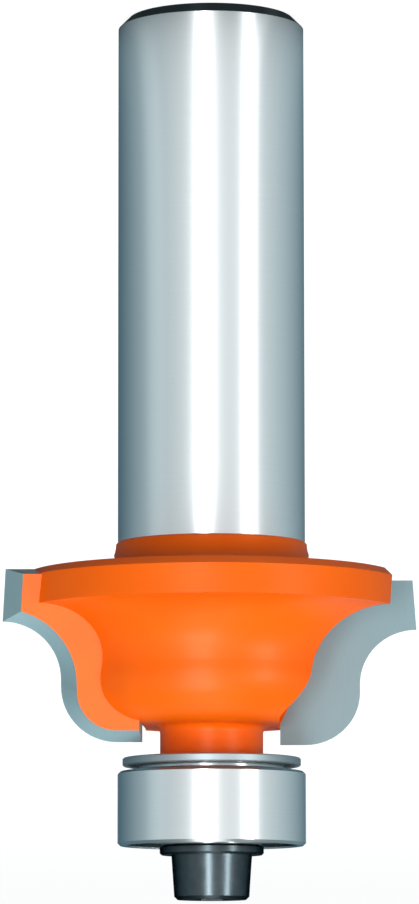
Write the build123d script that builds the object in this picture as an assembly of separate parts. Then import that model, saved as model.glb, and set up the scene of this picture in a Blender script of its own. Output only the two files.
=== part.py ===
"""Two-flute, carbide-tipped Roman ogee router bit with a pilot bearing at its nose.

Millimetres. The bit stands on the flat end of its shank: Z is the spindle axis, z = 0 is the
shank's end, and +Z points to the nose, where the bearing and its screw are.
"""
from build123d import *
from math import cos, radians, sin, tan
import os

# Shank
shank_diameter = 12.7
shank_length = 36.15
shank_chamfer = 0.7
centre_hole_diameter = 1.6
centre_hole_depth = 3.4
centre_countersink_diameter = 3.2
centre_countersink_angle = 60.0

# Collar and flange
collar_diameter = 12.94
collar_length = 2.13
flange_diameter = 25.9
flange_chamfer = 0.5
rim_height = 1.98

# Ogee of the core, a little inside the one that the edges cut
core_cove_radius = 4.0
core_ogee_flat = 0.6
core_bead_radius = 3.22

# Cutting edges, measured in the plane of the rake face
edge_corner_reach = 14.0
edge_corner_step = 1.0
edge_cove_radius = 3.9
edge_ogee_flat = 0.49
edge_bead_radius = 3.75
flank_height = 3.54
flank_taper_angle = 3.5
edge_inner_end = 4.65
rake_offset = 3.2
shear_angle = 11.5
relief_angle = 24.0
flank_relief_angle = 26.6
top_relief_angle = 1.5
inner_relief_angle = 4.0

# Carbide plates and the steel wings behind them
wing_thickness = 2.55
carbide_thickness = 1.8
carbide_width_at_flange = 4.3

# Chip gullets
gullet_width = 8.48
gullet_floor_at_rim = 5.92
gullet_floor_angle = 10.3
gullet_corner_radius = 1.5

# Neck, bearing journal and tapped hole
neck_diameter = 6.96
neck_length = 2.14
neck_fillet = 0.5
journal_chamfer = 0.2
journal_shortfall = 0.1
tapped_hole_spare = 1.6
drill_point_angle = 118.0

# Shield washer and spacer ring
shield_washer_diameter = 12.03
shield_washer_thickness = 0.55
spacer_diameter = 9.8
spacer_thickness = 0.3
spacer_boss_height = 0.07
edge_break = 0.08
fit_clearance = 0.02

# Pilot bearing
bearing_diameter = 12.7
bearing_bore = 4.762
bearing_width = 4.978
bearing_chamfer = 0.18
inner_ring_wall = 0.97
outer_ring_wall = 0.9
ball_count = 7
ball_share_of_section = 0.6
race_conformity = 0.525
race_clearance = 0.02
cage_width = 1.2
cage_back_height = 1.65
cage_front_height = 0.5
cage_pocket_clearance = 0.06
shield_seat_wall = 0.55
shield_seat_depth = 0.55
bearing_shield_thickness = 0.2
bearing_shield_gap = 0.2
clip_width = 0.2
clip_thickness = 0.25
clip_opening_angle = 26.0

# Screw and its washer
screw_washer_diameter = 7.01
screw_washer_thickness = 0.62
screw_washer_chamfer = 0.12
screw_washer_clearance = 0.1
screw_thread_diameter = 2.96
screw_thread_length = 8.0
screw_thread_chamfer = 0.4
screw_head_diameter = 5.44
screw_head_end_diameter = 5.06
screw_head_height = 3.0
screw_head_chamfer = 0.22
socket_width = 2.5
socket_depth = 1.4

# Radii and heights that follow from the sizes above
shank_radius = shank_diameter / 2
collar_radius = collar_diameter / 2
collar_step = collar_radius - shank_radius
flange_radius = flange_diameter / 2
flange_face = shank_length + collar_length
rim_end = flange_face + flange_chamfer + rim_height
corner_height = rim_end + edge_corner_step
edge_height = edge_cove_radius + edge_ogee_flat + edge_bead_radius
core_nose = rim_end + core_cove_radius + core_ogee_flat + core_bead_radius
neck_radius = neck_diameter / 2
neck_end = core_nose + neck_length
journal_radius = bearing_bore / 2 - fit_clearance
spacer_start = neck_end + shield_washer_thickness
bearing_start = spacer_start + spacer_thickness + spacer_boss_height
bearing_middle = bearing_start + bearing_width / 2
bearing_end = bearing_start + bearing_width
journal_end = bearing_end - journal_shortfall
screw_seat = bearing_end + screw_washer_thickness
screw_thread_end = screw_seat - screw_thread_length
screw_thread_radius = screw_thread_diameter / 2
tapped_hole_radius = screw_thread_radius + fit_clearance
tapped_hole_end = screw_thread_end - tapped_hole_spare
bearing_section = (bearing_diameter - bearing_bore) / 2
pitch_radius = (bearing_diameter + bearing_bore) / 4
ball_radius = ball_share_of_section * bearing_section / 2
race_radius = race_conformity * 2 * ball_radius
inner_ring_radius = bearing_bore / 2 + inner_ring_wall
outer_ring_land = bearing_diameter / 2 - outer_ring_wall
shield_seat = bearing_diameter / 2 - shield_seat_wall
shield_radius = shield_seat - fit_clearance
beyond = flange_radius + edge_corner_reach


def turned(*edges):
    """Solid turned about Z from a closed outline of (radius, height) edges."""
    return revolve(Plane.XZ * make_face(list(edges)), Axis.Z)


def turned_points(*points):
    """Solid turned about Z from the corners of its outline."""
    return turned(*Polyline(*points, close=True).edges())


def ring(outer_radius, inner_radius, start, end):
    """Plain flat ring between two heights."""
    return turned_points(
        (inner_radius, start), (outer_radius, start), (outer_radius, end), (inner_radius, end)
    )


def chamfered_ring(outer_radius, inner_radius, start, end, chamfer):
    """Flat ring between two heights, with both outer edges chamfered."""
    return turned_points(
        (inner_radius, start),
        (outer_radius - chamfer, start),
        (outer_radius, start + chamfer),
        (outer_radius, end - chamfer),
        (outer_radius - chamfer, end),
        (inner_radius, end),
    )


def ogee(outer, start, cove_radius, flat, bead_radius):
    """Cove, short flat and bead from (outer, start) to the bead's end, as a list of edges."""
    waist = outer - cove_radius
    cove_centre = (outer, start + cove_radius)
    bead_centre = (waist - bead_radius, start + cove_radius + flat)
    return [
        CenterArc(cove_centre, cove_radius, 180, 90).edge(),
        Line((waist, cove_centre[1]), (waist, bead_centre[1])).edge(),
        CenterArc(bead_centre, bead_radius, 0, 90).edge(),
    ]


# Turned core: shank, collar, flange, ogee, neck and journal


def turned_core():
    """Everything on the steel body that the lathe cuts, in one outline."""
    fillet_start = shank_length + collar_step
    collar_fillet = flange_face - fillet_start
    bead_end = flange_radius - core_cove_radius - core_bead_radius
    shank_side = Polyline(
        (0, 0),
        (shank_radius - shank_chamfer, 0),
        (shank_radius, shank_chamfer),
        (shank_radius, shank_length),
        (collar_radius, fillet_start),
    )
    collar_corner = CenterArc(
        (collar_radius + collar_fillet, fillet_start), collar_fillet, 90, 90
    )
    flange = Polyline(
        (collar_radius + collar_fillet, flange_face),
        (flange_radius - flange_chamfer, flange_face),
        (flange_radius, flange_face + flange_chamfer),
        (flange_radius, rim_end),
    )
    nose_face = Line((bead_end, core_nose), (neck_radius + neck_fillet, core_nose))
    neck_corner = CenterArc(
        (neck_radius + neck_fillet, core_nose + neck_fillet), neck_fillet, 180, 90
    )
    journal = Polyline(
        (neck_radius, core_nose + neck_fillet),
        (neck_radius, neck_end),
        (journal_radius, neck_end),
        (journal_radius, journal_end - journal_chamfer),
        (journal_radius - journal_chamfer, journal_end),
        (0, journal_end),
        (0, 0),
    )
    return turned(
        *shank_side.edges(),
        collar_corner.edge(),
        *flange.edges(),
        *ogee(flange_radius, rim_end, core_cove_radius, core_ogee_flat, core_bead_radius),
        nose_face.edge(),
        neck_corner.edge(),
        *journal.edges(),
    )


def centre_hole():
    """Lathe centre in the shank's end: a drilled hole behind a 60 degree countersink."""
    hole_radius = centre_hole_diameter / 2
    mouth_radius = centre_countersink_diameter / 2
    cone_depth = (mouth_radius - hole_radius) / tan(radians(centre_countersink_angle / 2))
    point_depth = hole_radius / tan(radians(drill_point_angle / 2))
    return turned_points(
        (0, 0),
        (mouth_radius, 0),
        (hole_radius, cone_depth),
        (hole_radius, centre_hole_depth),
        (0, centre_hole_depth + point_depth),
    )


def tapped_hole():
    """Blind hole for the pilot screw, at the thread's outer diameter."""
    point_depth = tapped_hole_radius / tan(radians(drill_point_angle / 2))
    return turned_points(
        (0, tapped_hole_end - point_depth),
        (tapped_hole_radius, tapped_hole_end),
        (tapped_hole_radius, journal_end),
        (0, journal_end),
    )


# Cutting wings: the rake plane leans with the shear angle and faces +Y on the +X side


def rake_plane():
    """Plane of the +X rake face: x outwards, y up the edge, z into the wing."""
    shear = radians(shear_angle)
    return Plane(
        origin=(0, -rake_offset, corner_height),
        x_dir=(1, 0, 0),
        z_dir=(0, -cos(shear), sin(shear)),
    )


def swept_back(face, lean_x, lean_y, depth):
    """Push a face in the rake plane back into the wing, leaning by two relief angles."""
    plane = rake_plane()
    slope = Vector(tan(radians(lean_x)), tan(radians(lean_y)), 1)
    direction = plane.from_local_coords(slope) - plane.origin
    return extrude(plane * face, amount=depth * slope.length, dir=direction)


def ground_blank():
    """Wing blank that narrows at the relief angle behind the whole cutting edge."""
    top = -flank_height
    flank_top = edge_corner_reach - 2 * flank_height * tan(radians(flank_taper_angle))
    bead_end = edge_corner_reach - edge_cove_radius - edge_bead_radius
    edge = ogee(edge_corner_reach, 0, edge_cove_radius, edge_ogee_flat, edge_bead_radius)
    back = Polyline(
        (bead_end, edge_height),
        (0, edge_height),
        (0, 2 * top),
        (flank_top, 2 * top),
        (edge_corner_reach, 0),
    )
    front = make_face([*edge, *back.edges()])
    inset = wing_thickness * tan(radians(relief_angle))
    rear = offset(front, amount=-inset, kind=Kind.INTERSECTION)
    plane = rake_plane()
    blank = loft([plane * front, plane.offset(wing_thickness) * rear], ruled=True)
    ends = make_face(
        Polyline(
            (edge_inner_end, top),
            (beyond, top),
            (beyond, beyond),
            (edge_inner_end, beyond),
            close=True,
        ).edges()
    )
    flank = make_face(
        Polyline(
            (0, 2 * top),
            (flank_top, 2 * top),
            (edge_corner_reach, 0),
            (edge_corner_reach, beyond),
            (0, beyond),
            close=True,
        ).edges()
    )
    blank &= swept_back(ends, inner_relief_angle, top_relief_angle, wing_thickness)
    return blank & swept_back(flank, -flank_relief_angle, 0, wing_thickness)


def carbide_outline():
    """Plate outline behind the edge: its inner side slants to the inner end at the nose."""
    plate_top = -2 * flank_height
    inner_at_flange = edge_corner_reach - carbide_width_at_flange
    slant_end = edge_height - gullet_corner_radius
    outline = Polyline(
        (inner_at_flange, -flank_height),
        (inner_at_flange, plate_top),
        (beyond, plate_top),
        (beyond, beyond),
        (0, beyond),
        (0, slant_end),
        (edge_inner_end, slant_end),
        close=True,
    )
    return make_face(outline.edges())


def carbide_tip():
    """Carbide plate of the +X wing, ground in one with the steel behind it."""
    return ground_blank() & swept_back(carbide_outline(), 0, 0, carbide_thickness)


def gullet():
    """Chip gullet in front of the +X rake face; its floor rises towards the collar."""
    floor = gullet_floor_at_rim
    section = Plane.XY.offset(rim_end) * make_face(
        Polyline(
            (floor, 0),
            (floor + beyond, 0),
            (floor + beyond, gullet_width),
            (floor, gullet_width),
            close=True,
        ).edges()
    )
    wall_corner = section.vertices().sort_by(Axis.X)[:2].sort_by(Axis.Y)[-1]
    section = fillet(wall_corner, gullet_corner_radius)
    shear_slope = tan(radians(shear_angle))
    rake_at_rim = -rake_offset - edge_corner_step * shear_slope
    slope = Vector(-tan(radians(gullet_floor_angle)), shear_slope, 1)
    reach = core_nose - shank_length
    half = extrude(section, amount=reach * slope.length, dir=slope)
    other_half = extrude(section, amount=reach * slope.length, dir=-slope)
    return Pos(0, rake_at_rim, 0) * (half + other_half)


def cutter_body(tip):
    """Steel body: the turned core with its gullets, wings, carbide seats and holes."""
    body = turned_core() - centre_hole() - tapped_hole()
    wing = ground_blank()
    for turn in (0, 180):
        body -= Rot(0, 0, turn) * gullet()
    for turn in (0, 180):
        body += Rot(0, 0, turn) * wing
    for turn in (0, 180):
        body -= Rot(0, 0, turn) * tip
    return body


# Washer and spacer between the neck and the bearing


def shield_washer():
    bore = journal_radius + fit_clearance
    return chamfered_ring(shield_washer_diameter / 2, bore, neck_end, spacer_start, edge_break)


def spacer_ring():
    """Ring with a low boss that bears on the bearing's inner ring alone."""
    bore = journal_radius + fit_clearance
    boss_start = spacer_start + spacer_thickness
    disc = chamfered_ring(spacer_diameter / 2, bore, spacer_start, boss_start, edge_break)
    boss = ring(inner_ring_radius - edge_break, bore, boss_start, bearing_start)
    return disc + boss


# Pilot bearing


def race_groove(bottom, side):
    """Turned groove whose deepest point is at a radius; side is +1 where it opens outwards."""
    centre = bottom + side * race_radius
    circle = Pos(centre, bearing_middle) * Circle(race_radius)
    return revolve(Plane.XZ * circle, Axis.Z)


def bearing_inner_ring():
    groove_bottom = pitch_radius - ball_radius - race_clearance
    blank = chamfered_ring(
        inner_ring_radius, bearing_bore / 2, bearing_start, bearing_end, edge_break
    )
    return blank - race_groove(groove_bottom, 1)


def bearing_outer_ring():
    """Outer ring with a raceway and, at each face, a stepped seat for the shield."""
    groove_bottom = pitch_radius + ball_radius + race_clearance
    blank = chamfered_ring(
        bearing_diameter / 2, outer_ring_land, bearing_start, bearing_end, bearing_chamfer
    )
    blank -= ring(shield_seat, 0, bearing_start, bearing_start + shield_seat_depth)
    blank -= ring(shield_seat, 0, bearing_end - shield_seat_depth, bearing_end)
    return blank - race_groove(groove_bottom, -1)


def bearing_balls():
    """Balls, equally spaced on the pitch circle."""
    places = PolarLocations(pitch_radius, ball_count)
    return [Pos(0, 0, bearing_middle) * place * Sphere(ball_radius) for place in places]


def ball_cage():
    """One-piece crown cage: its pockets open towards the nose and snap over the balls."""
    start = bearing_middle - cage_back_height
    end = bearing_middle + cage_front_height
    cage = ring(pitch_radius + cage_width / 2, pitch_radius - cage_width / 2, start, end)
    for place in PolarLocations(pitch_radius, ball_count):
        pocket = Sphere(ball_radius + cage_pocket_clearance)
        cage -= Pos(0, 0, bearing_middle) * place * pocket
    return cage


def bearing_shield(face, inwards):
    """Thin disc on its seat in the outer ring, clear of the inner ring."""
    seat = face + inwards * shield_seat_depth
    front = seat - inwards * bearing_shield_thickness
    inner = inner_ring_radius + bearing_shield_gap
    return ring(shield_radius, inner, min(seat, front), max(seat, front))


def shield_clip(face, inwards):
    """C-shaped spring clip in front of the shield."""
    back = face + inwards * (shield_seat_depth - bearing_shield_thickness)
    front = back - inwards * clip_thickness
    clip = ring(shield_radius, shield_radius - clip_width, min(back, front), max(back, front))
    opening_width = 2 * shield_radius * sin(radians(clip_opening_angle / 2))
    opening = Box(opening_width, shield_radius, clip_thickness)
    return clip - Pos(0, shield_radius, (back + front) / 2) * opening


# Screw and washer at the nose


def screw_washer():
    bore = screw_thread_radius + screw_washer_clearance
    outer = screw_washer_diameter / 2
    return chamfered_ring(outer, bore, bearing_end, screw_seat, screw_washer_chamfer)


def pilot_screw():
    """Socket cap screw with a slightly tapered head; the thread is at its outer diameter."""
    head_end = screw_seat + screw_head_height
    head_end_radius = screw_head_end_diameter / 2
    screw = turned_points(
        (0, screw_thread_end),
        (screw_thread_radius - screw_thread_chamfer, screw_thread_end),
        (screw_thread_radius, screw_thread_end + screw_thread_chamfer),
        (screw_thread_radius, screw_seat),
        (screw_head_diameter / 2, screw_seat),
        (head_end_radius, head_end - screw_head_chamfer),
        (head_end_radius - screw_head_chamfer, head_end),
        (0, head_end),
    )
    hexagon = RegularPolygon(socket_width / 2, 6, major_radius=False)
    socket = extrude(Plane.XY.offset(head_end) * hexagon, amount=-socket_depth)
    point_depth = (socket_width / 2) / tan(radians(drill_point_angle / 2))
    socket_point = turned_points(
        (0, head_end - socket_depth - point_depth),
        (socket_width / 2, head_end - socket_depth),
        (0, head_end - socket_depth),
    )
    return screw - socket - socket_point


def all_parts():
    """Every piece of the router bit by node name."""
    tip = carbide_tip()
    parts = {
        "cutter_body": cutter_body(tip),
        "carbide_tip_1": tip,
        "carbide_tip_2": Rot(0, 0, 180) * tip,
        "shield_washer": shield_washer(),
        "spacer_ring": spacer_ring(),
        "bearing_inner_ring": bearing_inner_ring(),
        "bearing_outer_ring": bearing_outer_ring(),
        "ball_cage": ball_cage(),
        "bearing_shield_shank_side": bearing_shield(bearing_start, 1),
        "bearing_shield_nose_side": bearing_shield(bearing_end, -1),
        "shield_clip_shank_side": shield_clip(bearing_start, 1),
        "shield_clip_nose_side": shield_clip(bearing_end, -1),
        "screw_washer": screw_washer(),
        "pilot_screw": pilot_screw(),
    }
    for number, ball in enumerate(bearing_balls(), 1):
        parts[f"bearing_ball_{number}"] = ball
    return parts


os.makedirs("parts", exist_ok=True)
for name, solid in all_parts().items():
    export_step(solid, f"parts/{name}.step")
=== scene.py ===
"""Studio scene for the router bit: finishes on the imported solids, floor, lamps and camera.

Metres. The bit stands on its shank's end, so it hangs nose down in the picture and the camera is
turned over. The camera looks along +Y. Azimuths are in degrees from the camera's side of the bit,
positive towards the picture's right.
"""

from math import cos, hypot, pi, radians, sin, tan

import bpy
from mathutils import Matrix, Vector

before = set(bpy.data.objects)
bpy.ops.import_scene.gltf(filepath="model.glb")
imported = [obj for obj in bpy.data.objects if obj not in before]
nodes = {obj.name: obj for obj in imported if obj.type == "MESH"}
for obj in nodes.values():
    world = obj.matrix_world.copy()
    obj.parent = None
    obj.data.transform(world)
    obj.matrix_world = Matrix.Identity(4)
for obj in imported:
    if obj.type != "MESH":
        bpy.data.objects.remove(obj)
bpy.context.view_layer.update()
scene = bpy.context.scene

# Heights and radii where the body changes from bare to coated, as the solids have them
SHANK_CHAMFER = 0.0007
SHANK_END = 0.03615
NECK_END = 0.05072
HOLE_REACH = 0.003
ROUNDING = 1e-6

# The cutting edge and its relief, as the solids have them
CORNER_HEIGHT = 0.04176
CORNER_REACH = 0.014
RAKE_OFFSET = 0.0032
SHEAR = radians(11.5)
CARBIDE_THICKNESS = 0.0018
WING_THICKNESS = 0.00255
COVE_RADIUS = 0.0039
BEAD_START = 0.00439
BEAD_RADIUS = 0.00375
EDGE_END = 0.00814
EDGE_INNER_END = 0.00465
FLANK_TAPER = radians(3.5)
FLANK_HEIGHT = 0.00354
RELIEF = radians(24)
FLANK_RELIEF = radians(26.6)
TOP_RELIEF = radians(1.5)
INNER_RELIEF = radians(4)

# How closely a polygon has to match a ground face: places, and sines of its lean
RELIEF_MARGIN = 0.00006
RELIEF_GAP = 0.00024
LEAN_MARGIN = 0.03
BACK_FACE_LEAN = 0.9

# Normals of the bearing's shank-side edge break, which wears painted shade, lie between these
# heights
EDGE_BREAK_NORMALS = (-0.95, -0.3)

# Finishes: grain in noise cells per metre, or per radian around the axis, and the bumps' depth
TURNED_GRAIN = 26000.0
TURNED_GRAIN_AROUND = 0.6
TURNED_GLOSS_SPREAD = 0.12
GRINDING_GRAIN = (30000.0, 600.0, 600.0)
COATING_PATCHES = 260.0
COATING_PEEL = 9000.0
OXIDE_MOTTLE = 1500.0
BRASS_MOTTLE = 2500.0
BUMP_DEPTH = 0.00001

# Floor's grey for diffuse light, and what the camera sees of it: its grey and its glow
FLOOR_TONE = 0.05
PAPER_TONE = 0.18
PAPER_GLOW = 0.92
FLOOR_HALF = 6
FLOOR_DROP = 0.00001

# Studio that bare metal mirrors: dark behind the bit, pale in front and a little to the right
STUDIO_LEVEL = 0.95
STUDIO_TURN = radians(12)
STUDIO = ((0.0, (0.06, 0.125, 0.16)), (0.5, (0.42, 0.53, 0.565)), (1.0, (0.86, 0.9, 0.91)))

# Strip lights painted into the floor's glow, a painted reflection for bare metal: first azimuth,
# last azimuth, strength. The back one spans the seam at 180
STRIP_LEFT = (-84, -60, 0.18)
STRIP_FRONT = (-13.5, -4.5, 0.6)
STRIP_RIGHT = (42, 53, 0.9)
STRIP_BACK_EDGE = 172
STRIP_BACK_LIGHT = 0.7
STRIP_SOFTNESS = 7

# The mirrored floor darkens towards the bit's foot, between these radii
DARK_FOOT = (0.0065, 0.016)
DARK_FOOT_LEVEL = 0.05

# The studio dims overhead, between these heights of a direction
OVERHEAD = (0.25, 0.75)
OVERHEAD_LEVEL = 0.45

# Point that the lamps face, and the camera
MIDDLE = Vector((0, 0, 0.034))
EYE = Vector((0, -0.328, 0.07184))
PITCH = 0.12717
YAW = 0.00038
ROLL = 0.00101
SENSOR_WIDTH = 36
FOCAL_PIXELS = 4865
PICTURE_HEIGHT = 904
CLIP_NEAR = 0.01
CLIP_FAR = 30


# Node helpers


def empty_tree(owner, kind):
    """A material's or world's node tree, cleared, with its output's surface socket."""
    owner.use_nodes = True
    tree = owner.node_tree
    tree.nodes.clear()
    return tree, node(tree, kind).inputs["Surface"]


def new_finish(name):
    material = bpy.data.materials.new(name)
    tree, surface = empty_tree(material, "OutputMaterial")
    shader = node(tree, "BsdfPrincipled")
    tree.links.new(shader.outputs["BSDF"], surface)
    return material, tree, shader


def node(tree, kind, **settings):
    made = tree.nodes.new("ShaderNode" + kind)
    for key, value in settings.items():
        setattr(made, key, value)
    return made


def feed(tree, made, *values):
    """Sets or links a node's first inputs and returns its first output."""
    for socket, value in zip(made.inputs, values):
        if isinstance(value, (int, float, tuple)):
            socket.default_value = value
        else:
            tree.links.new(value, socket)
    return made.outputs[0]


def math(tree, operation, *values):
    return feed(tree, node(tree, "Math", operation=operation), *values)


def object_place(tree):
    return node(tree, "TexCoord").outputs["Object"]


def ramp(tree, value, *stops):
    made = node(tree, "ValToRGB")
    elements = made.color_ramp.elements
    while len(elements) < len(stops):
        elements.new(0.5)
    for element, (place, colour) in zip(elements, stops):
        element.position = place
        element.color = (*colour, 1)
    return feed(tree, made, value)


def blend(tree, value, places, levels, **settings):
    """Runs from the first level to the second as value goes between the two places."""
    made = node(tree, "MapRange", **settings)
    made.inputs["From Min"].default_value, made.inputs["From Max"].default_value = places
    made.inputs["To Min"].default_value, made.inputs["To Max"].default_value = levels
    return feed(tree, made, value)


def noise(tree, vector, scale=1.0, detail=2.0, roughness=0.5):
    made = node(tree, "TexNoise")
    made.inputs["Scale"].default_value = scale
    made.inputs["Detail"].default_value = detail
    made.inputs["Roughness"].default_value = roughness
    tree.links.new(vector, made.inputs["Vector"])
    return made.outputs["Fac"]


def lathe_coordinates(tree, around, along):
    """(angle, height, radius) about the spindle axis, scaled."""
    place = node(tree, "SeparateXYZ")
    feed(tree, place, object_place(tree))
    x, y, z = place.outputs
    angle = math(tree, "ARCTAN2", y, x)
    squares = (math(tree, "MULTIPLY", side, side) for side in (x, y))
    radius = math(tree, "SQRT", math(tree, "ADD", *squares))
    scaled = (
        math(tree, "MULTIPLY", angle, around),
        math(tree, "MULTIPLY", z, along),
        math(tree, "MULTIPLY", radius, along),
    )
    return feed(tree, node(tree, "CombineXYZ"), *scaled)


def tint(tree, shader, pattern, dark, light, span=(0.3, 0.7)):
    """Base colour that runs from dark to light with a pattern."""
    colour = ramp(tree, pattern, (span[0], dark), (span[1], light))
    tree.links.new(colour, shader.inputs["Base Color"])


def roughen(tree, shader, pattern, least, spread):
    """Roughness that rises from the least value with a pattern."""
    rough = math(tree, "MULTIPLY_ADD", pattern, spread, least)
    tree.links.new(rough, shader.inputs["Roughness"])


def bump(tree, shader, height, strength):
    made = node(tree, "Bump")
    made.inputs["Strength"].default_value = strength
    made.inputs["Distance"].default_value = BUMP_DEPTH
    tree.links.new(height, made.inputs["Height"])
    tree.links.new(made.outputs["Normal"], shader.inputs["Normal"])


def set_inputs(shader, **values):
    for name, value in values.items():
        socket = shader.inputs[name.replace("_", " ")]
        socket.default_value = (*value, 1) if isinstance(value, tuple) else value


# Finishes


def turned_metal(name, dark, light, roughness, anisotropy=0.0):
    """Metal ground or turned on its axis: fine rings that vary in tone and gloss."""
    material, tree, shader = new_finish(name)
    place = lathe_coordinates(tree, TURNED_GRAIN_AROUND, TURNED_GRAIN)
    rings = noise(tree, place, detail=3.0, roughness=0.6)
    tint(tree, shader, rings, dark, light)
    roughen(tree, shader, rings, roughness - TURNED_GLOSS_SPREAD / 2, TURNED_GLOSS_SPREAD)
    set_inputs(shader, Metallic=1.0, Anisotropic=anisotropy, Anisotropic_Rotation=0.25)
    bump(tree, shader, rings, strength=0.05)
    return material


def coating():
    """Orange anti-stick coating: satin, with a very fine orange-peel surface."""
    material, tree, shader = new_finish("coating")
    broad = noise(tree, object_place(tree), COATING_PATCHES)
    fine = noise(tree, object_place(tree), COATING_PEEL)
    tint(tree, shader, broad, (0.99, 0.132, 0.0), (1.0, 0.143, 0.001), span=(0.35, 0.65))
    roughen(tree, shader, fine, least=0.35, spread=0.08)
    set_inputs(shader, Specular_IOR_Level=0.34, Specular_Tint=(1.0, 0.88, 0.66))
    bump(tree, shader, fine, strength=0.06)
    return material


def carbide():
    """Fine-ground tungsten carbide, matt, with close straight grinding lines."""
    material, tree, shader = new_finish("carbide")
    stretched = node(tree, "Mapping")
    stretched.inputs["Scale"].default_value = GRINDING_GRAIN
    lines = noise(tree, feed(tree, stretched, object_place(tree)), detail=3.0, roughness=0.6)
    tint(tree, shader, lines, (0.285, 0.43, 0.47), (0.305, 0.455, 0.495))
    roughen(tree, shader, lines, least=0.42, spread=0.12)
    set_inputs(shader, Metallic=0.0, Specular_IOR_Level=0.22)
    bump(tree, shader, lines, strength=0.06)
    return material


def black_oxide():
    """Blackened steel, lightly oiled."""
    material, tree, shader = new_finish("black_oxide")
    mottle = noise(tree, object_place(tree), OXIDE_MOTTLE, detail=3.0)
    tint(tree, shader, mottle, (0.065, 0.085, 0.095), (0.085, 0.108, 0.118))
    roughen(tree, shader, mottle, least=0.25, spread=0.08)
    set_inputs(shader, Metallic=1.0, Specular_Tint=(0.12, 0.14, 0.15))
    return material


def brass():
    """Plain bright brass for the bearing's cage."""
    material, tree, shader = new_finish("cage_brass")
    mottle = noise(tree, object_place(tree), BRASS_MOTTLE)
    tint(tree, shader, mottle, (0.62, 0.42, 0.16), (0.72, 0.52, 0.22))
    set_inputs(shader, Metallic=1.0, Roughness=0.3)
    return material


ground_steel = turned_metal(
    "ground_steel", (0.88, 0.92, 0.93), (0.93, 0.96, 0.97), roughness=0.36, anisotropy=0.85
)
washer_steel = turned_metal(
    "washer_steel", (0.36, 0.43, 0.45), (0.42, 0.49, 0.51), roughness=0.5, anisotropy=0.2
)
bearing_steel = turned_metal(
    "bearing_steel", (0.9, 0.93, 0.94), (0.95, 0.98, 0.99), roughness=0.32, anisotropy=0.85
)
# Dark steel for turned edges that face the floor: painted shade
shaded_edge_steel = turned_metal(
    "shaded_edge_steel", (0.2, 0.28, 0.32), (0.25, 0.34, 0.385), roughness=0.42
)
orange = coating()
grey_carbide = carbide()
black = black_oxide()
cage_brass = brass()

finishes = {
    "carbide_tip_1": grey_carbide,
    "carbide_tip_2": grey_carbide,
    "shield_washer": washer_steel,
    "spacer_ring": bearing_steel,
    "bearing_inner_ring": bearing_steel,
    "ball_cage": cage_brass,
    "bearing_shield_shank_side": washer_steel,
    "bearing_shield_nose_side": washer_steel,
    # The shield clips wear black oxide to stand in for the shade in the shields' recesses: painted
    # shade
    "shield_clip_shank_side": black,
    "shield_clip_nose_side": black,
    "screw_washer": black,
    "pilot_screw": black,
}


def wear(piece, *materials):
    piece.data.materials.clear()
    for material in materials:
        piece.data.materials.append(material)


for name, piece in nodes.items():
    if name in finishes:
        wear(piece, finishes[name])
    elif name.startswith("bearing_ball_"):
        wear(piece, bearing_steel)

# The outer ring's shank-side edge is turned; it wears a dark steel as painted shade, darker than
# its ground wall

outer_ring = nodes["bearing_outer_ring"]
wear(outer_ring, bearing_steel, shaded_edge_steel)
lowest, highest = EDGE_BREAK_NORMALS
for polygon in outer_ring.data.polygons:
    polygon.material_index = 1 if lowest < polygon.normal.z < highest else 0

# The steel body wears the coating, but its shank, journal and ground relief are bare


def on_ground_relief(centre, normal):
    """True on the steel strip behind a carbide plate that was ground in one with it."""
    for side in (1, -1):
        x, y, z = centre.x * side, centre.y * side, centre.z - CORNER_HEIGHT
        depth = -(y + RAKE_OFFSET) * cos(SHEAR) + z * sin(SHEAR)
        up = (y + RAKE_OFFSET) * sin(SHEAR) + z * cos(SHEAR)
        lean = -normal.y * side * cos(SHEAR) + normal.z * sin(SHEAR)
        behind_plate = (
            x >= EDGE_INNER_END - RELIEF_MARGIN
            and CARBIDE_THICKNESS - RELIEF_MARGIN < depth < WING_THICKNESS + RELIEF_MARGIN
        )
        if not behind_plate or lean > BACK_FACE_LEAN:
            continue
        inset = depth * tan(RELIEF)
        bead_centre = CORNER_REACH - COVE_RADIUS - BEAD_RADIUS
        flank = CORNER_REACH + up * tan(FLANK_TAPER) - depth * tan(FLANK_RELIEF)
        gaps_and_reliefs = (
            (hypot(x - CORNER_REACH, up - COVE_RADIUS) - (COVE_RADIUS + inset), RELIEF),
            (hypot(x - bead_centre, up - BEAD_START) - (BEAD_RADIUS - inset), RELIEF),
            (x - (CORNER_REACH - COVE_RADIUS - inset), RELIEF),
            (up - (EDGE_END - inset), RELIEF),
            (x - flank, FLANK_RELIEF),
            (up + FLANK_HEIGHT, TOP_RELIEF),
            (x - EDGE_INNER_END, INNER_RELIEF),
        )
        for gap, relief in gaps_and_reliefs:
            if abs(gap) < RELIEF_GAP and abs(lean - sin(relief)) < LEAN_MARGIN:
                return True
    return False


body = nodes["cutter_body"]
COATED, GROUND, RELIEVED, TURNED_SHADED = range(4)
wear(body, orange, ground_steel, grey_carbide, shaded_edge_steel)
for polygon in body.data.polygons:
    centre = polygon.center
    # The shank's end chamfer faces the floor and wears the dark steel: painted shade
    if centre.z < SHANK_CHAMFER:
        polygon.material_index = TURNED_SHADED
    elif centre.z < SHANK_END - ROUNDING or centre.z > NECK_END + ROUNDING:
        polygon.material_index = GROUND
    elif hypot(centre.x, centre.y) < HOLE_REACH:
        polygon.material_index = GROUND
    elif on_ground_relief(centre, polygon.normal):
        polygon.material_index = RELIEVED
    else:
        polygon.material_index = COATED

# Floor and world: plain white to the camera, a soft studio to the bare metal


def studio(tree, x, y):
    """The studio's tone in a level direction, given by its two parts."""
    side = math(tree, "MULTIPLY_ADD", x, -0.5 * sin(STUDIO_TURN), 0.5)
    front = math(tree, "MULTIPLY_ADD", y, -0.5 * cos(STUDIO_TURN), side)
    return ramp(tree, front, *STUDIO)


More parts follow.
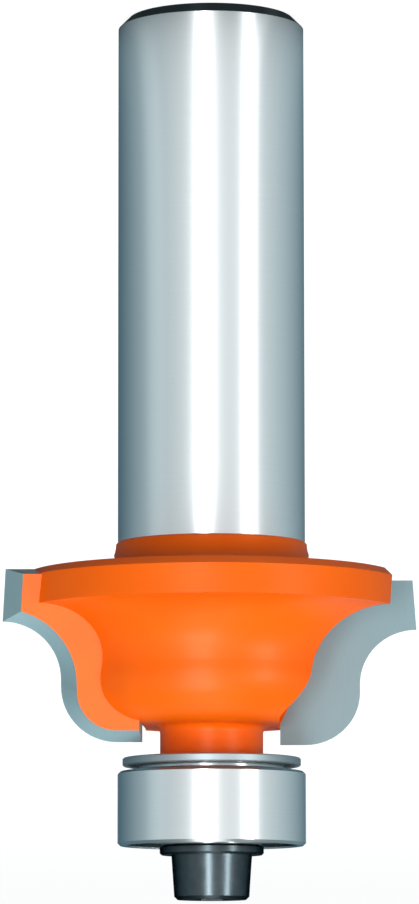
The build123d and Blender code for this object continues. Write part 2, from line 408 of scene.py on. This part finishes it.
def strips(tree, x, y):
    """The upright strip lights, painted into the floor's glow that glossy rays see: a painted
    reflection.
    """
    flipped = (math(tree, "MULTIPLY", part, -1.0) for part in (x, y))
    azimuth = math(tree, "ARCTAN2", *flipped)
    turn = math(tree, "MULTIPLY_ADD", azimuth, 0.5 / pi, 0.5)
    half = STRIP_SOFTNESS / 2
    levels = [
        (-STRIP_BACK_EDGE, STRIP_BACK_LIGHT),
        (STRIP_SOFTNESS - STRIP_BACK_EDGE, 0),
    ]
    for first, last, light in (STRIP_LEFT, STRIP_FRONT, STRIP_RIGHT):
        levels += [(first - half, 0), (first + half, light), (last - half, light), (last + half, 0)]
    levels += [
        (STRIP_BACK_EDGE - STRIP_SOFTNESS, 0),
        (STRIP_BACK_EDGE, STRIP_BACK_LIGHT),
    ]
    return ramp(tree, turn, *((0.5 + angle / 360, (level,) * 3) for angle, level in levels))


def add_vectors(tree, first, second):
    return feed(tree, node(tree, "VectorMath", operation="ADD"), first, second)


def mix_shaders(tree, share, plain, other):
    return feed(tree, node(tree, "MixShader"), share, plain, other)


def diffuse(tree, tone):
    return feed(tree, node(tree, "BsdfDiffuse"), (tone, tone, tone, 1))


signs = ((-1, -1), (1, -1), (1, 1), (-1, 1))
floor_mesh = bpy.data.meshes.new("floor")
floor_mesh.from_pydata([(x * FLOOR_HALF, y * FLOOR_HALF, 0) for x, y in signs], [], [range(4)])
floor = bpy.data.objects.new("floor", floor_mesh)
floor.location.z = -FLOOR_DROP
scene.collection.objects.link(floor)

floor_material = bpy.data.materials.new("floor")
tree, surface = empty_tree(floor_material, "OutputMaterial")
rays = node(tree, "LightPath").outputs
white = node(tree, "Emission")
white.inputs["Strength"].default_value = PAPER_GLOW
paper = feed(tree, node(tree, "AddShader"), diffuse(tree, PAPER_TONE), white.outputs[0])
towards = node(tree, "VectorMath", operation="NORMALIZE")
direction = node(tree, "SeparateXYZ")
feed(tree, direction, feed(tree, towards, object_place(tree)))
x, y, _ = direction.outputs
reach = node(tree, "VectorMath", operation="LENGTH")
feed(tree, reach, object_place(tree))
mirrored = node(tree, "Emission")
glow = add_vectors(tree, studio(tree, x, y), strips(tree, x, y))
strength = blend(tree, reach.outputs["Value"], DARK_FOOT, (DARK_FOOT_LEVEL, STUDIO_LEVEL))
feed(tree, mirrored, glow, strength)
to_metal = math(tree, "MAXIMUM", rays["Is Glossy Ray"], rays["Is Transmission Ray"])
unseen = mix_shaders(tree, to_metal, diffuse(tree, FLOOR_TONE), mirrored.outputs[0])
tree.links.new(mix_shaders(tree, rays["Is Camera Ray"], unseen, paper), surface)
floor_mesh.materials.append(floor_material)

world = bpy.data.worlds.new("studio")
scene.world = world
tree, surface = empty_tree(world, "OutputWorld")
rays = node(tree, "LightPath").outputs
direction = node(tree, "SeparateXYZ")
feed(tree, direction, node(tree, "TexCoord").outputs["Generated"])
x, y, height = direction.outputs
strength = blend(
    tree, height, OVERHEAD, (STUDIO_LEVEL, OVERHEAD_LEVEL), interpolation_type="SMOOTHSTEP"
)
ambient = feed(tree, node(tree, "Background"), studio(tree, x, y), strength)
pale = feed(tree, node(tree, "Background"), (1, 1, 1, 1))
tree.links.new(mix_shaders(tree, rays["Is Camera Ray"], ambient, pale), surface)

# Lamps: azimuth, elevation, distance, width, height and radiance


def lamp(name, azimuth, elevation, distance, width, height, radiance, mirrored=True):
    """An area lamp that faces the bit. Where it isn't mirrored, it gives diffuse light alone."""
    data = bpy.data.lights.new(name, "AREA")
    data.shape = "RECTANGLE"
    data.size, data.size_y = width, height
    data.energy = radiance * width * height * pi
    made = bpy.data.objects.new(name, data)
    a, e = radians(azimuth), radians(elevation)
    out = Vector((-sin(a) * cos(e), -cos(a) * cos(e), sin(e)))
    made.location = MIDDLE + out * distance
    made.rotation_mode = "QUATERNION"
    made.rotation_quaternion = out.to_track_quat("Z", "Y")
    made.visible_camera = False
    made.visible_glossy = mirrored
    scene.collection.objects.link(made)


lamp("lamp_front", -9, 34, 0.9, 0.32, 0.44, 8.0)
lamp("lamp_low", -9, 7, 0.9, 0.13, 0.2, 24.0)
lamp("lamp_right", 47.5, 10, 0.8, 0.11, 0.3, 16.0)
lamp("lamp_above", -9, 78, 1.2, 0.5, 0.6, 1.5)
lamp("fill_back_left", -152, 42, 1.0, 0.45, 0.45, 5.0, mirrored=False)
lamp("fill_back_right", 152, 42, 1.0, 0.45, 0.45, 5.0, mirrored=False)

# Camera at the photograph's angle

forward = Vector((YAW, cos(PITCH), -sin(PITCH))).normalized()
right = Vector((-1, YAW, 0)).normalized()
up = right.cross(forward)
right, up = (right - up * ROLL).normalized(), (up + right * ROLL).normalized()
camera_data = bpy.data.cameras.new("camera")
camera_data.sensor_width = SENSOR_WIDTH
camera_data.lens = SENSOR_WIDTH * FOCAL_PIXELS / PICTURE_HEIGHT
camera_data.clip_start, camera_data.clip_end = CLIP_NEAR, CLIP_FAR
camera = bpy.data.objects.new("camera", camera_data)
scene.collection.objects.link(camera)
axes = Matrix((right, up, -forward)).transposed().to_4x4()
camera.matrix_world = Matrix.Translation(EYE) @ axes
scene.camera = camera
scene.view_settings.view_transform = "Standard"

bpy.context.view_layer.update()
